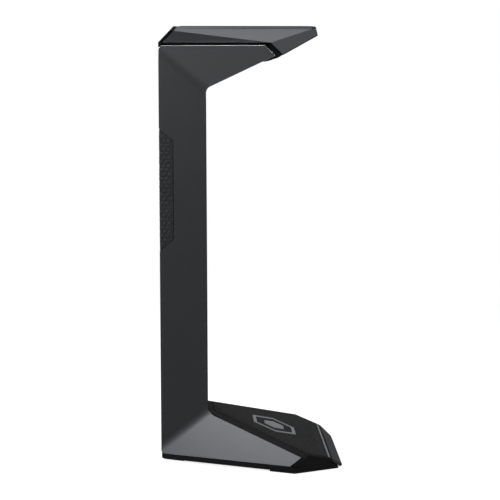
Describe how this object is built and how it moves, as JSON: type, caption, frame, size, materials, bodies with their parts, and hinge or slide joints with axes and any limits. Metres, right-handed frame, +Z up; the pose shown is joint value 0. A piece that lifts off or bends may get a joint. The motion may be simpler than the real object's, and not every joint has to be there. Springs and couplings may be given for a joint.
{
  "type": "headphone_stand",
  "caption": "Desktop headphone stand: a slim faceted column with a flared, rubber-topped arm above a wedge-shaped weighted base, dark painted panels over black plastic.",
  "frame": {"origin": "centre of the footprint on the table, at the height of the feet's undersides", "axes": "+Z is up, -Y is the front towards which the arm reaches, and X runs across the stand; the stand is the same on both sides of the plane x = 0"},
  "size_m": [0.0982, 0.1142, 0.275],
  "materials": {
    "panel_paint": "satin dark grey metallic paint",
    "cap_paint": "satin grey metallic paint",
    "black_plastic": "matt moulded",
    "pad_rubber": "matt, finely ribbed",
    "foot_rubber": "matt",
    "trim_metal": "polished",
    "emblem_ink": "satin grey",
    "bracket_steel": "zinc plated",
    "ballast_steel": "raw rolled",
    "screw_steel": "zinc plated"
  },
  "bodies": {
    "root": {"side_panel_left": "panel_paint", "side_panel_right": "panel_paint", "front_liner": "black_plastic", "rear_cover": "black_plastic", "grip_band": "black_plastic", "spine_bracket": "bracket_steel", "top_cap": "cap_paint", "cap_rear_plate": "black_plastic", "headband_pad": "pad_rubber", "tip_core": "black_plastic", "base_deck": "black_plastic", "front_lip": "panel_paint", "base_plate": "black_plastic", "ballast_plate": "ballast_steel", "rear_foot": "foot_rubber", "front_foot_left": "foot_rubber", "front_foot_right": "foot_rubber", "base_pad": "pad_rubber", "emblem_ring": "emblem_ink", "emblem_core": "emblem_ink", "trim_strip": "trim_metal", "base_screw_1": "screw_steel", "base_screw_2": "screw_steel", "base_screw_3": "screw_steel", "base_screw_4": "screw_steel", "column_screw_1": "screw_steel", "column_screw_2": "screw_steel", "cap_screw_1": "screw_steel", "cap_screw_2": "screw_steel"}
  },
  "joints": []
}
